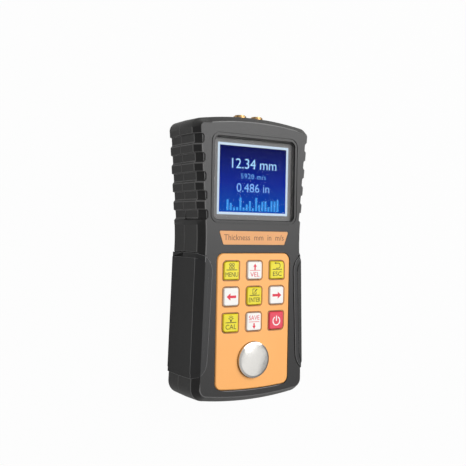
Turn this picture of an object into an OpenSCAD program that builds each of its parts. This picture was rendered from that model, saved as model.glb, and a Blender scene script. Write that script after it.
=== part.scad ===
// Handheld ultrasonic thickness gauge, lying on its back.
// X runs across the face, Y along the case towards the probe sockets, Z out of the face.
// The origin is the centre of the back face. All lengths are in millimetres.

/* [Case] */
// Length between the crowns of the two ends
case_len = 151; // [146:0.5:160]
// Width between the side lines where they reach the top end
top_w = 75.3; // [73:0.1:79]
// Width between the side lines at the waist
waist_w = 65.4; // [63.5:0.1:68]
// Width between the side lines where they reach the bottom end
bottom_w = 70.9; // [69:0.1:75]
// Height of the waist above the middle of the case
waist_y = 13.15; // [9:0.05:17]
// Radius of the curve at the waist
waist_r = 120; // [80:5:160]
// Thickness from the back to the face
case_t = 32; // [31:0.25:36]
// Height of the parting line above the back
parting_z = 14.7; // [13:0.1:16]
// Radius of the crowned top end
top_crown_r = 190; // [160:5:240]
// Radius of the crowned bottom end
bottom_crown_r = 197; // [170:5:240]
// Radius of the top corners
top_corner_r = 5.3; // [4.5:0.1:7]
// Radius of the bottom corners
bottom_corner_r = 7.5; // [6:0.1:9]
// Width of the bevel around the face
bevel_w = 2.9; // [2:0.1:3.6]
// Depth of the bevel around the face
bevel_d = 4.5; // [3.5:0.1:5.5]
// Bevel around the back
back_bevel = 3; // [2:0.1:4]
// Draft of each shell's sides, away from the parting line
draft = 0.25; // [0.1:0.05:0.5]
// Wall thickness of the shells
wall = 2.2; // [1.8:0.1:2.5]
// Thickness of the front shell behind the face
face_t = 3; // [2.6:0.1:3.4]

/* [Side grooves] */
// Number of grooves on each side
groove_count = 5; // [3:1:5]
// Height of the lowest groove's middle above the middle of the case
groove_y = 23.3; // [22:0.1:25]
// Spacing of the grooves
groove_pitch = 9.65; // [8:0.05:10]
// Width of a groove along the case
groove_h = 4.3; // [3:0.1:5]
// Depth of a groove
groove_d = 1; // [0.5:0.05:1.2]
// How far a groove's end reaches in from the edge of the face
groove_reach = 1.45; // [0.8:0.05:2]
// Radius of the upper corner of a groove's end
groove_end_r = 1.3; // [0.6:0.1:1.8]
// Depth of a groove's end in the face
groove_end_d = 0.55; // [0.4:0.05:0.8]

/* [Side grips] */
// Top edge of the grips above the middle of the case
grip_top = 3.55; // [2:0.05:5]
// Bottom edge of the grips above the middle of the case
grip_bottom = -61.45; // [-62.5:0.05:-58]
// Distance from the middle to a grip's inner edge at its top
grip_in_top = 25.4; // [25:0.1:26.5]
// Distance from the middle to a grip's inner edge at its bottom
grip_in_bottom = 28.55; // [27.5:0.05:29.5]
// Radius of a grip's inner corners
grip_corner_r = 10; // [7:0.5:12]
// How far a grip stands proud of the case
grip_proud = 0.9; // [0.5:0.05:1.2]
// Depth of the seat that a grip lies in
grip_seat = 0.9; // [0.5:0.05:1.1]
// Width of the lip around a grip
grip_lip = 2.5; // [1.8:0.1:3.2]
// Height of a grip's raised middle above its lip
grip_step = 0.35; // [0.2:0.05:0.5]
// Gap around a grip in its seat
grip_gap = 0.3; // [0.2:0.05:0.4]

/* [Screen] */
// Height of the screen's middle above the middle of the case
screen_y = 42.1; // [41.5:0.1:42.8]
// Width of the picture area
picture_w = 42.5; // [40:0.1:43]
// Height of the picture area
picture_h = 34.8; // [32:0.1:35.4]
// White margin around the picture area
picture_margin = 1.3; // [0.8:0.1:1.5]
// Glass edge of the display beyond the white margin
panel_edge = 1.1; // [0.8:0.05:1.3]
// Thickness of the display
panel_t = 2.6; // [2:0.1:3]
// Width of the window
window_w = 51.2; // [50.6:0.1:52]
// Height of the window
window_h = 43.5; // [43:0.1:44.2]
// Thickness of the window
window_t = 1.2; // [1:0.05:1.4]
// Radius of the window's corners
window_r = 3; // [2:0.1:4]
// Depth of the window below the face
window_sink = 0.9; // [0.6:0.05:1.1]
// Thickness of the printed mask behind the window
mask_t = 0.12; // [0.1:0.01:0.2]
// Gap around the window in its seat
window_gap = 0.2; // [0.15:0.05:0.3]
// Distance from the window to the line around it
frame_band = 1.4; // [1:0.1:2]
// Width and depth of the line around the window
frame_line = 0.4; // [0.3:0.05:0.6]

/* [Keypad] */
// Top edge of the keypad plate above the middle of the case
plate_top = 3.15; // [2.5:0.05:4]
// Width of the keypad plate
plate_w = 46; // [45:0.1:47.5]
// Length of the keypad plate to its crowned bottom edge
plate_len = 71.6; // [70:0.1:72.5]
// Radius of the crowned bottom edge
plate_crown_r = 222; // [180:2:260]
// Radius of the keypad plate's corners
plate_r = 3.8; // [3:0.1:5]
// Depth of the keypad plate's seat
plate_seat = 1.2; // [0.8:0.05:1.3]
// How far the keypad plate stands proud of the face
plate_proud = 0.25; // [0.1:0.05:0.5]
// Bevel around the keypad plate
plate_bevel = 0.5; // [0.3:0.05:0.8]
// Gap around the keypad plate
plate_gap = 0.35; // [0.2:0.05:0.5]
// Width of a key
key_w = 9.2; // [8:0.1:9.6]
// Height of a key along the case
key_h = 9.3; // [8:0.1:9.4]
// Radius of a key's corners
key_r = 1.3; // [1.2:0.1:2]
// Radius of the outer corner of the four corner keys
key_outer_r = 1.9; // [1.2:0.1:2.4]
// Radius of the other corners of the four corner keys
key_inner_r = 0.6; // [0.4:0.1:1.3]
// Gap around a key in its window
key_gap = 0.4; // [0.3:0.05:0.5]
// Spacing of the key columns
key_pitch_x = 14.5; // [13.4:0.1:15]
// Spacing of the key rows
key_pitch_y = 13.6; // [13.2:0.1:14]
// Height of the middle row of keys above the middle of the case
key_row_y = -19.4; // [-20:0.1:-19]
// How far a key stands above the keypad plate
key_proud = 0.6; // [0.55:0.05:1]
// Bevel around the top of a key
key_bevel = 0.45; // [0.2:0.05:0.6]
// Travel of a key
key_travel = 0.5; // [0.3:0.05:0.55]
// Flange around the foot of a key
key_flange = 0.9; // [0.6:0.1:1.2]
// Thickness of a key's flange
key_flange_t = 0.8; // [0.6:0.05:1]
// Play between a key's flange and the front shell
key_play = 0.1; // [0.05:0.05:0.2]
// Clearance between a pressed key and the switch dome under it
dome_clear = 0.15; // [0.1:0.05:0.3]
// Radius of a switch dome
dome_r = 3; // [2:0.1:3.6]
// Height of a switch dome above its sheet
dome_h = 0.35; // [0.25:0.05:0.5]
// Thickness of the dome sheet
dome_sheet_t = 0.2; // [0.15:0.05:0.3]
// Edge of the switch board beyond the outermost keys
switch_edge = 4; // [3:0.1:5]

/* [Title plate] */
// Top edge of the title plate above the middle of the case
title_top = 14.85; // [14.4:0.05:15.5]
// Height of the title plate
title_h = 7.15; // [6.5:0.05:8]
// Width of the title plate along its top edge
title_top_w = 44.1; // [42:0.1:46]
// Width of the title plate along its bottom edge
title_bottom_w = 38.7; // [36:0.1:41]
// Radius of the title plate's corners
title_r = 0.8; // [0.5:0.1:1.4]
// Thickness of the title plate
title_t = 0.5; // [0.3:0.05:0.8]
// Gap around the title plate
title_gap = 0.2; // [0.15:0.05:0.3]

/* [Zero disc] */
// Radius of the steel zero disc
disc_r = 9.5; // [8.5:0.1:9.6]
// Thickness of the steel zero disc
disc_t = 4; // [3.8:0.05:4.4]
// Height of the disc's middle above the middle of the case
disc_y = -53.1; // [-53.4:0.1:-52.6]
// How far the disc stands above the face
disc_proud = 1.95; // [1.8:0.05:2.2]
// Width of the polished bevel around the disc's top
disc_bevel = 1.1; // [0.6:0.05:1.4]
// Height of the polished bevel around the disc's top
disc_bevel_h = 0.45; // [0.2:0.05:0.8]
// Width of the ledge under the disc
disc_ledge = 1.6; // [1:0.1:2.5]
// Gap around the disc
disc_gap = 0.15; // [0.1:0.05:0.3]

/* [Probe sockets] */
// Spacing of the two probe sockets
socket_pitch = 10.6; // [10:0.1:12]
// Height of the sockets above the back
socket_z = 23.5; // [23:0.1:23.6]
// Bore of a socket
socket_bore_r = 2; // [1.8:0.05:2.1]
// Wall of a socket's barrel
socket_wall = 0.75; // [0.65:0.05:0.8]
// How far a socket's barrel stands above the end of the case
socket_proud = 1.1; // [1:0.1:1.6]
// Length of a socket's barrel
socket_len = 13; // [12:0.5:14]
// Free depth of a socket's bore
socket_depth = 5; // [4.6:0.1:6]
// Step in a socket's bore where its insulator begins
socket_step = 0.2; // [0.1:0.05:0.4]
// Depth of the flat that a socket's nut sits on
socket_flat = 0.4; // [0.35:0.05:0.6]
// Width of a socket nut's ring
nut_ring = 0.65; // [0.6:0.05:0.8]
// Height of a socket nut
nut_h = 1; // [0.8:0.1:1.3]
// Width of the notches in a socket nut
nut_notch = 0.9; // [0.7:0.1:1.2]
// Width of the flange inside the case
socket_flange = 1; // [0.8:0.1:1.2]
// Thickness of the flange inside the case
socket_flange_t = 1.6; // [1.2:0.1:2]
// Radius of a socket's centre contact
contact_r = 0.6; // [0.5:0.05:0.8]
// Radius of a centre contact's solder tail
tail_r = 0.35; // [0.25:0.05:0.4]
// Distance of the solder tails from the end of the main board
tail_inset = 3; // [2:0.5:4]
// Gap between the nested parts of a socket
socket_fit = 0.05; // [0.03:0.01:0.1]

/* [Battery] */
// Radius of a cell
cell_r = 7.25; // [7:0.05:7.3]
// Length of a cell's body
cell_len = 49; // [48:0.1:49.4]
// Length of a cell's button
cell_button = 1.5; // [1.2:0.1:1.8]
// Radius of a cell's button
cell_button_r = 2.7; // [2.2:0.1:3]
// Spacing of the two cells
cell_pitch = 15.2; // [14.9:0.1:15.4]
// Room for the spring at a cell's flat end
spring_room = 5.5; // [4.5:0.1:6]
// Wire of a battery spring
spring_wire = 0.8; // [0.6:0.05:1]
// Turns of a battery spring
spring_turns = 3; // [2:1:4]
// Radius of a battery spring's wide end
spring_r = 4.2; // [3.6:0.1:4.6]
// Thickness of a battery contact plate
plate_contact_t = 0.5; // [0.4:0.05:0.6]
// Gap around the cells in their well
well_gap = 0.35; // [0.3:0.05:0.4]
// Wall of the battery well
well_wall = 1.3; // [1.1:0.1:1.4]
// Height of the well's lower end above the middle of the case
well_bottom = -64; // [-65:0.1:-63.5]
// Thickness of the battery cover
cover_t = 2; // [1.8:0.1:2.1]
// How far the cover reaches past the well on each side
cover_side = 2.4; // [2:0.1:3]
// How far the cover reaches past the well's upper end
cover_top = 3; // [2.5:0.1:4]
// Width of the tongues along the cover
tongue_w = 1.2; // [0.8:0.1:1.5]
// Thickness of the tongues along the cover
tongue_t = 0.9; // [0.7:0.05:0.9]
// Running gap around the cover
cover_gap = 0.2; // [0.15:0.05:0.25]
// Thickness of the bed above the cover
bed_t = 1.6; // [1.2:0.1:2]
// Number of finger ridges on the cover
ridge_count = 6; // [4:1:8]
// Spacing of the finger ridges
ridge_pitch = 2.4; // [2:0.1:3]
// Width of a groove between finger ridges
ridge_w = 1.1; // [0.8:0.1:1.4]
// Depth of a groove between finger ridges
ridge_d = 0.5; // [0.3:0.05:0.8]
// Length of the finger ridges
ridge_len = 18; // [12:0.5:24]
// Height of the first finger ridge above the middle of the case
ridge_y = -14; // [-20:0.5:-12]

/* [Boards and screws] */
// Thickness of the circuit boards
board_t = 1.6; // [1.2:0.1:1.6]
// Height of the main board's underside above the back
board_z = 19.2; // [19.1:0.05:19.3]
// Width of the main board
board_w = 58.6; // [57.5:0.1:59]
// Distance from the main board's upper end to the back of the sockets
board_clear = 5.5; // [4.5:0.1:7]
// Distance from the middle to the upper board screws, across
board_screw_x = 27.6; // [27.5:0.05:27.8]
// Distance from the middle to the upper board screws, along
board_screw_y = 47; // [44:0.5:50]
// Radius of the bosses for the board screws
board_boss_r = 1.8; // [1.6:0.05:1.85]
// Radius of the board screws' shanks
board_screw_r = 0.9; // [0.7:0.05:1]
// Length of the board screws' shanks
board_screw_len = 6; // [5:0.5:7]
// Distance from the middle to the case screws at the top end
case_screw_x = 30; // [29.5:0.1:30.4]
// Height of the case screws at the top end above the middle
case_screw_top = 66.5; // [66:0.1:67]
// Distance from the middle to the case screws at the bottom end
case_screw_low_x = 29; // [28.5:0.1:29.2]
// Height of the case screws at the bottom end above the middle
case_screw_bottom = -65; // [-65.4:0.1:-64.6]
// Radius of the case screws' shanks
case_screw_r = 1.25; // [1:0.05:1.4]
// Radius of the case screws' heads
case_head_r = 2.3; // [2:0.05:2.4]
// Height of the case screws' heads
case_head_h = 1.8; // [1.4:0.1:2]
// Depth of the case screws' heads below the back
case_head_sink = 0.8; // [0.5:0.1:1.5]
// Length of the case screws' shanks
case_screw_len = 18; // [16:0.5:20]
// Clearance around a screw in its through hole
screw_clear = 0.2; // [0.15:0.05:0.3]
// Wall around a case screw's head
boss_wall = 0.9; // [0.8:0.05:1]
// Wall of the display holder
holder_wall = 1.2; // [1:0.1:1.3]
// Gap around the display in its holder
holder_gap = 0.15; // [0.1:0.05:0.2]
// Side of the display holder's legs
holder_leg = 5; // [4:0.5:6]
// Radius of the switch board's spacers
spacer_r = 1.8; // [1.4:0.1:2.2]
// Width of the ribbon cables
ribbon_w = 14; // [10:0.5:18]
// Thickness of the ribbon cables
ribbon_t = 0.3; // [0.2:0.05:0.4]
// Length of a ribbon's flat ends
ribbon_run = 3; // [2:0.5:4]
// Length that a ribbon spans along the case
ribbon_drop = 12; // [10:0.5:14]
// Radius of the main board's corners
board_r = 2; // [1:0.5:3]
// Radius of the board screws' heads
board_head_r = 1.7; // [1.4:0.1:2]
// Height of the board screws' heads
board_head_h = 1.1; // [0.8:0.1:1.4]
// Width of the cross in a case screw's head
cross_w = 0.65; // [0.5:0.05:0.8]
// Length of each bar of the cross, as a share of the head
cross_share = 0.6; // [0.5:0.05:0.75]
// Thickness of the shank in its pilot hole, as a share of the hole
pilot_share = 0.85; // [0.8:0.01:0.95]
// Thickness of the display holder's floor
holder_floor_t = 1.2; // [1:0.1:1.4]
// Side of the processor
chip_w = 13; // [10:0.5:14]
// Thickness of the processor
chip_t = 1.6; // [1.2:0.1:2]
// Side of the pulse coil
coil_w = 11; // [8:0.5:12]
// Height of the pulse coil
coil_h = 8; // [6:0.5:9]
// Radius of a capacitor
capacitor_r = 3.2; // [2.5:0.1:3.6]
// Height of a capacitor
capacitor_h = 9; // [7:0.5:10]
// Spacing of the capacitors
capacitor_pitch = 8; // [7.5:0.5:9]
// Radius of the buzzer
buzzer_r = 6; // [5:0.5:7]
// Height of the buzzer
buzzer_h = 7; // [5:0.5:8]
// Radius of the buzzer's sound hole
buzzer_hole_r = 1; // [0.8:0.1:1.5]
// Depth of the buzzer's sound hole
buzzer_hole_d = 1.75; // [1:0.25:2.5]

/* [Hidden] */
$fn = 64;

// Colours as the photograph shows them
charcoal = "#34363b";
rubber = "#24262a";
amber = "#fbb765";
yellow = "#f2e62e";
white = "#f3f2ee";
red = "#d83a4c";
steel = "#c9c8c6";
gold = "#d3a24a";
board_green = "#1f6b45";

// Overshoot that keeps cuts clear of the faces they pass through
cut = 1;
half_len = case_len / 2;
face_in = case_t - face_t;

// Points that the outlines are drawn with
crown_steps = 14;
corner_steps = 7;
waist_steps = 6;
fine_r = 0.2;
// Step between the ends of the side cuts and their ends on the face
face_margin = 0.06;

// Side lines of the case: how far they lean, and their distance from the middle at a height y
upper_lean = (top_w - waist_w) / 2 / (half_len - waist_y);
lower_lean = (bottom_w - waist_w) / 2 / (half_len + waist_y);
function side_x(y) = waist_w / 2 + (y > waist_y ? upper_lean * (y - waist_y) : lower_lean * (waist_y - y));

// Slope of a crowned end where it meets its corners, and the height of its corner lines' crossing
function crown_angle(r, half) = asin(half / r);
function crown_tip(r, angle) = r / cos(angle) - r;
top_angle = crown_angle(top_crown_r, top_w / 2 - top_corner_r);
bottom_angle = crown_angle(bottom_crown_r, bottom_w / 2 - bottom_corner_r);
plate_angle = crown_angle(plate_crown_r, plate_w / 2 - plate_r);
top_tip = half_len + crown_tip(top_crown_r, top_angle);
bottom_tip = half_len + crown_tip(bottom_crown_r, bottom_angle);
top_x = (waist_w / 2 + upper_lean * (top_tip - waist_y)) / (1 + upper_lean * tan(top_angle));
bottom_x = (waist_w / 2 + lower_lean * (bottom_tip + waist_y)) / (1 + lower_lean * tan(bottom_angle));
top_corner = [top_x, top_tip - top_x * tan(top_angle)];
bottom_corner = [bottom_x, bottom_x * tan(bottom_angle) - bottom_tip];
waist_point = [waist_w / 2, waist_y];
function flip(p) = [-p[0], p[1]];

// An outline is a list of corners, each with a radius and a number of steps
case_outline = [[[0, top_tip], top_crown_r, crown_steps], [flip(top_corner), top_corner_r, corner_steps],
    [flip(waist_point), waist_r, waist_steps], [flip(bottom_corner), bottom_corner_r, corner_steps],
    [[0, -bottom_tip], bottom_crown_r, crown_steps], [bottom_corner, bottom_corner_r, corner_steps],
    [waist_point, waist_r, waist_steps], [top_corner, top_corner_r, corner_steps]];
plate_tip = plate_top - plate_len - crown_tip(plate_crown_r, plate_angle);
plate_low = plate_tip + plate_w / 2 * tan(plate_angle);
plate_outline = [[[plate_w / 2, plate_top], plate_r, corner_steps], [[-plate_w / 2, plate_top], plate_r, corner_steps],
    [[-plate_w / 2, plate_low], plate_r, corner_steps], [[0, plate_tip], plate_crown_r, crown_steps],
    [[plate_w / 2, plate_low], plate_r, corner_steps]];
title_outline = [for (p = [[title_top_w / 2, title_top], [-title_top_w / 2, title_top],
    [-title_bottom_w / 2, title_top - title_h], [title_bottom_w / 2, title_top - title_h]])
    [p, title_r, corner_steps]];
function rectangle(w, h, y, r) = [for (s = [[1, 1], [-1, 1], [-1, -1], [1, -1]])
    [[s[0] * w / 2, y + s[1] * h / 2], r, corner_steps]];
grip_far = top_w;
grip_z = grip_gap + fine_r;
grip_outline = [[[grip_in_bottom, grip_bottom], grip_corner_r, 2 * corner_steps], [[grip_far, grip_bottom], fine_r, 1],
    [[grip_far, grip_top], fine_r, 1], [[grip_in_top, grip_top], grip_corner_r, 2 * corner_steps]];

// Corners of the case's section, as distance out from the side line and height above the back
case_section = [[-back_bevel - draft, 0], [-draft, back_bevel], [0, parting_z],
    [-draft, case_t - bevel_d], [-bevel_w - draft, case_t]];

// Screen sizes
mask_w = picture_w + 2 * picture_margin;
mask_h = picture_h + 2 * picture_margin;
panel_w = mask_w + 2 * panel_edge;
panel_h = mask_h + 2 * panel_edge;
window_z = case_t - window_sink - window_t;
mask_z = window_z - mask_t;
panel_top = mask_z - socket_fit;
panel_z = panel_top - panel_t;
aperture_gap = 0.3;
holder_w = panel_w + 2 * (holder_gap + holder_wall);
holder_h = panel_h + 2 * (holder_gap + holder_wall);
holder_lip_clear = 0.2;

// Keypad heights
plate_z = case_t - plate_seat;
plate_face = case_t + plate_proud;
key_top = plate_face + key_proud;
flange_top = face_in - key_play;
flange_z = flange_top - key_flange_t;
dome_top = flange_z - key_travel - dome_clear;
switch_top = dome_top - dome_h - dome_sheet_t;
switch_z = switch_top - board_t;
switch_w = 2 * (key_pitch_x + key_w / 2 + switch_edge);
switch_h = 2 * (key_pitch_y + key_h / 2 + switch_edge);
spacer_x = switch_w / 2 - spacer_r - fine_r;
spacer_y = switch_h / 2 - spacer_r - fine_r;
board_top = board_z + board_t;

// Zero disc heights
disc_top = case_t + disc_proud;
disc_z = disc_top - disc_t;

// Socket places along the case
socket_seat = half_len - socket_flat;
socket_tip = half_len + socket_proud;
socket_back = socket_tip - socket_len;
barrel_r = socket_bore_r + socket_wall;
nut_r = barrel_r + socket_fit + nut_ring;
flange_y = half_len - wall - draft - 2 * socket_fit - crown_tip(top_crown_r, crown_angle(top_crown_r, socket_pitch));
insulator_top = socket_tip - socket_depth;
board_len = 2 * (socket_back - board_clear);
tail_end = board_len / 2 - tail_inset;

// Battery well
well_w = cell_pitch + 2 * (cell_r + well_gap);
well_len = cell_len + cell_button + spring_room + 2 * plate_contact_t;
well_top = well_bottom + well_len;
cover_seat = cover_t + cover_gap;
cell_z = cover_seat + well_gap + cell_r;
well_roof = cell_z + cell_r + well_gap;
cover_w = well_w + 2 * cover_side;
cover_end = well_top + cover_top;
bed_w = cover_w + 2 * (tongue_w + cover_gap + well_wall);
bed_low = -half_len + wall;
button_top = well_top - plate_contact_t;
button_low = well_bottom + plate_contact_t;

// Screw places
case_screw_spots = [[case_screw_x, case_screw_top], [-case_screw_x, case_screw_top],
    [case_screw_low_x, case_screw_bottom], [-case_screw_low_x, case_screw_bottom]];
board_screw_spots = [for (sx = [-1, 1], sy = [-1, 1]) [sx * board_screw_x, sy * board_screw_y]];
case_boss_r = case_head_r + screw_clear + boss_wall;
head_seat = case_head_sink + case_head_h;

// Geometry helpers: directions, corners moved inwards, and rounded outlines
function unit(v) = v / norm(v);
function left_of(v) = [-v[1], v[0]];
function turn(v, a) = [v[0] * cos(a) - v[1] * sin(a), v[0] * sin(a) + v[1] * cos(a)];
function inset_point(p, u, w, d) = p + d * (left_of(u) + left_of(w)) / (1 + u * w);
function corner_arc(outline, i, d) = let (n = len(outline),
        here = outline[i][0],
        u = unit(here - outline[(i + n - 1) % n][0]),
        w = unit(outline[(i + 1) % n][0] - here),
        p = inset_point(here, u, w, d),
        a = atan2(u[0] * w[1] - u[1] * w[0], u * w),
        side = sign(a),
        r = max(outline[i][1] - side * d, fine_r / 2),
        centre = p - u * r * tan(abs(a) / 2) + left_of(u) * r * side)
    [for (k = [0 : outline[i][2]]) centre - turn(left_of(u) * r * side, a * k / outline[i][2])];
function arcs(outline, first, last, d) = [for (i = [first : last], p = corner_arc(outline, i, d)) p];
function rounded(outline, d) = arcs(outline, 0, len(outline) - 1, d);

function section_point(i, e) = let (n = len(case_section),
        u = i == 0 ? [1, 0] : unit(case_section[i] - case_section[i - 1]),
        w = i == n - 1 ? [-1, 0] : unit(case_section[i + 1] - case_section[i]))
    inset_point(case_section[i], u, w, -e);

// Right side of the case at an inset d, from the bottom up, with the grip's seat and the grooves let into it
function side_at(y, d) = side_x(y) - d * norm([1, y > waist_y ? upper_lean : lower_lean]);
function seat_top(x) = let (r = grip_corner_r, in = max(0, grip_in_top + r - x)) grip_top - r + sqrt(r * r - in * in);
function seat_bottom(x) = let (r = grip_corner_r, in = max(0, grip_in_bottom + r - x)) grip_bottom + r - sqrt(r * r - in * in);
function groove_low(i) = groove_y + i * groove_pitch - groove_h / 2;
function seat_points(d) = let (low = seat_bottom(side_at(grip_bottom, d)) - grip_gap,
        high = seat_top(side_at(grip_top, d)) + grip_gap)
    [[side_at(low, d), low], [side_at(low, d) - grip_seat, low],
        [side_at(high, d) - grip_seat, high], [side_at(high, d), high]];
function groove_points(d) = [for (i = [0 : groove_count - 1])
    let (low = groove_low(i), high = low + groove_h, foot = low - groove_d)
    for (p = [[side_at(foot, d), foot], [side_at(low, d) - groove_d, low],
        [side_at(high, d) - groove_d, high], [side_at(high, d), high]]) p];
function mirrored(points) = [for (i = [len(points) - 1 : -1 : 0]) flip(points[i])];
function case_ring(d) = concat(arcs(case_outline, 0, 1, d), mirrored(groove_points(d)),
    arcs(case_outline, 2, 2, d), mirrored(seat_points(d)), arcs(case_outline, 3, 5, d),
    seat_points(d), arcs(case_outline, 6, 6, d), groove_points(d), arcs(case_outline, 7, 7, d));

// A solid through rings of as many points each, at a list of heights
module skin(rings, heights) {
    n = len(rings[0]);
    last = len(rings) - 1;
    points = [for (j = [0 : last], p = rings[j]) [p[0], p[1], heights[j]]];
    sides = [for (j = [0 : last - 1], i = [0 : n - 1])
        let (k = (i + 1) % n) [j * n + i, j * n + n + i, j * n + n + k, j * n + k]];
    polyhedron(points, concat([[for (i = [0 : n - 1]) i]], sides, [[for (i = [n - 1 : -1 : 0]) last * n + i]]),
        convexity = 4);
}

// A solid through an outline at several levels, each an inset and a height
module loft(outline, levels) {
    skin([for (q = levels) rounded(outline, q[0])], [for (q = levels) q[1]]);
}

// Rows of the section carried on past both ends, so that a slab trims them to flat faces
function level(q) = [-q[0], q[1]];
function past(q, next, z) = q + (next - q) * (z - q[1]) / (next[1] - q[1]);
function stretched(rows) = let (n = len(rows) - 1) [for (i = [0 : n])
    i == 0 ? past(rows[0], rows[1], rows[0][1] - cut)
    : i == n ? past(rows[n - 1], rows[n], rows[n][1] + cut) : rows[i]];
section_last = len(case_section) - 1;
parting_row = 2;

module slab(z0, z1) {
    block(-case_len, case_len, -case_len, case_len, z0, z1);
}

// The case's form, grown outwards by e, with plain sides and past its two faces
module case_body(e) {
    loft(case_outline, [for (q = stretched([for (i = [0 : section_last]) section_point(i, e)])) level(q)]);
}

// The floor of the grip seats, a depth inside the case
module seat_body(depth) intersection() {
    loft(case_outline, [for (q = stretched(case_section)) [depth - q[0], q[1]]]);
    slab(-2 * cut, case_t - depth);
}

// One shell's outer form, from one row of the section to another, with its sides grooved
module shell_body(first, last) intersection() {
    rows = stretched([for (i = [first : last]) case_section[i]]);
    skin([for (q = rows) case_ring(-q[0])], [for (q = rows) q[1]]);
    slab(case_section[first][1], case_section[last][1]);
}

// The rooms inside the shells: up to the back of the face, and down to the inside of the back
module front_room() intersection() {
    rows = [for (i = [parting_row : section_last]) section_point(i, -wall)];
    loft(case_outline, [for (q = stretched(rows)) level(q)]);
    slab(0, face_in);
}

module rear_room() intersection() {
    rows = [for (i = [0 : parting_row]) section_point(i, -wall)];
    loft(case_outline, [for (q = stretched(rows)) level(q)]);
    slab(wall, case_t);
}

module prism(outline, z0, z1, d = 0) {
    translate([0, 0, z0]) linear_extrude(z1 - z0) polygon(rounded(outline, d));
}

module block(x0, x1, y0, y1, z0, z1) {
    translate([x0, y0, z0]) cube([x1 - x0, y1 - y0, z1 - z0]);
}

module upright(r, z0, z1) {
    translate([0, 0, z0]) cylinder(r = r, h = z1 - z0);
}

// A cylinder along the case from y0 to y1
module along(r, y0, y1) {
    translate([0, y0, 0]) rotate([-90, 0, 0]) cylinder(r = r, h = y1 - y0);
}

module both_sides() {
    children();
    mirror([1, 0, 0]) children();
}

// Shallow ends of the grooves and grip seats on the face
module face_cuts() {
    both_sides() {
        for (i = [0 : groove_count - 1]) {
            low = groove_low(i) + face_margin;
            high = low + groove_h - 2 * face_margin;
            tab = side_x(low) - draft - bevel_w - groove_reach;
            prism([[[tab, low], fine_r, 1], [[grip_far, low], fine_r, 1], [[grip_far, high], fine_r, 1],
                [[tab, high], groove_end_r, corner_steps]], case_t - groove_end_d, case_t + cut);
        }
        prism(grip_outline, case_t - grip_seat, case_t + cut, face_margin - grip_gap);
    }
}

module case_bosses(z0, z1, r) {
    for (p = case_screw_spots) translate(p) upright(r, z0, z1);
}

module board_bosses(z0, z1, r) {
    for (p = board_screw_spots) translate(p) upright(r, z0, z1);
}

module window_outline(d) {
    polygon(rounded(rectangle(window_w, window_h, screen_y, window_r), d));
}

// Seat, opening and surrounding line of the window
module window_cuts() {
    seat = rectangle(window_w, window_h, screen_y, window_r);
    opening = rectangle(panel_w, panel_h, screen_y, fine_r);
    prism(seat, mask_z, case_t + cut, -window_gap);
    prism(opening, face_in - cut, case_t, -aperture_gap);
    difference() {
        prism(seat, case_t - frame_line, case_t + cut, -frame_band - frame_line);
        prism(seat, case_t - frame_line - cut, case_t + 2 * cut, -frame_band);
    }
}

// The keys' grid, and a key's outline: the four corner keys are rounded most at their outer corner
function key_spot(col, row) = [col * key_pitch_x, key_row_y + row * key_pitch_y];
function key_outline(col, row) = [for (q = rectangle(key_w, key_h, 0, key_r))
    let (outer = sign(q[0][0]) == col && sign(q[0][1]) == row)
    [q[0], col * row == 0 ? key_r : outer ? key_outer_r : key_inner_r, q[2]]];

module key_windows(z0, z1) {
    for (col = [-1 : 1], row = [-1 : 1]) translate(key_spot(col, row)) prism(key_outline(col, row), z0, z1, -key_gap);
}

// Seat of the keypad plate, the key windows and the zero disc's pocket
module keypad_cuts() {
    prism(plate_outline, plate_z, case_t + cut, -plate_gap);
    key_windows(face_in - cut, case_t);
    translate([0, disc_y]) {
        upright(disc_r + disc_gap, disc_z, case_t);
        upright(disc_r - disc_ledge, face_in - cut, case_t);
    }
}

module at_sockets() {
    for (s = [-1, 1]) translate([s * socket_pitch / 2, 0, socket_z]) children();
}

module socket_cuts() {
    at_sockets() {
        along(barrel_r + socket_fit, socket_back, socket_tip);
        along(nut_r + socket_fit, socket_seat, socket_tip);
    }
}

module front_shell() color(charcoal) difference() {
    union() {
        difference() {
            shell_body(parting_row, section_last);
            front_room();
        }
        case_bosses(parting_z, face_in + cut, case_boss_r);
        board_bosses(board_top, face_in + cut, board_boss_r);
    }
    face_cuts();
    window_cuts();
    keypad_cuts();
    prism(title_outline, case_t - title_t, case_t + cut, -title_gap);
    socket_cuts();
    case_bosses(parting_z - cut, head_seat + case_screw_len + cut, case_screw_r);
    board_bosses(board_top - cut, board_z + board_screw_len + cut, board_screw_r);
}

// Room that the cover and its tongues slide in
module cover_room() {
    block(-cover_w / 2 - cover_gap, cover_w / 2 + cover_gap, -case_len, cover_end + cover_gap, -cut, cover_seat);
    block(-cover_w / 2 - tongue_w - cover_gap, cover_w / 2 + tongue_w + cover_gap, -case_len, cover_end + cover_gap,
        cover_t - tongue_t - cover_gap, cover_seat);
}

module rear_shell() color(charcoal) difference() {
    union() {
        difference() {
            shell_body(0, parting_row);
            rear_room();
        }
        case_bosses(wall / 2, parting_z, case_boss_r);
        block(-well_w / 2 - well_wall, well_w / 2 + well_wall, well_bottom - well_wall, well_top + well_wall,
            wall / 2, well_roof + well_wall);
        block(-bed_w / 2, bed_w / 2, bed_low, cover_end + cover_gap + well_wall, wall / 2, cover_seat + bed_t);
    }
    cover_room();
    block(-well_w / 2, well_w / 2, well_bottom, well_top, 0, well_roof);
    case_bosses(-cut, head_seat, case_head_r + screw_clear);
    case_bosses(0, parting_z + cut, case_screw_r + screw_clear);
}

// A soft pad that wraps one side: a low lip around a raised middle
module grip() color(rubber) difference() {
    union() {
        intersection() {
            prism(grip_outline, grip_z, case_t + grip_proud - grip_step);
            case_body(grip_proud - grip_step);
        }
        intersection() {
            prism(grip_outline, grip_z + grip_lip, case_t + grip_proud, grip_lip);
            case_body(grip_proud);
        }
    }
    seat_body(grip_seat - socket_fit);
}

module right_grip() grip();

module left_grip() mirror([1, 0, 0]) grip();

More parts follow.
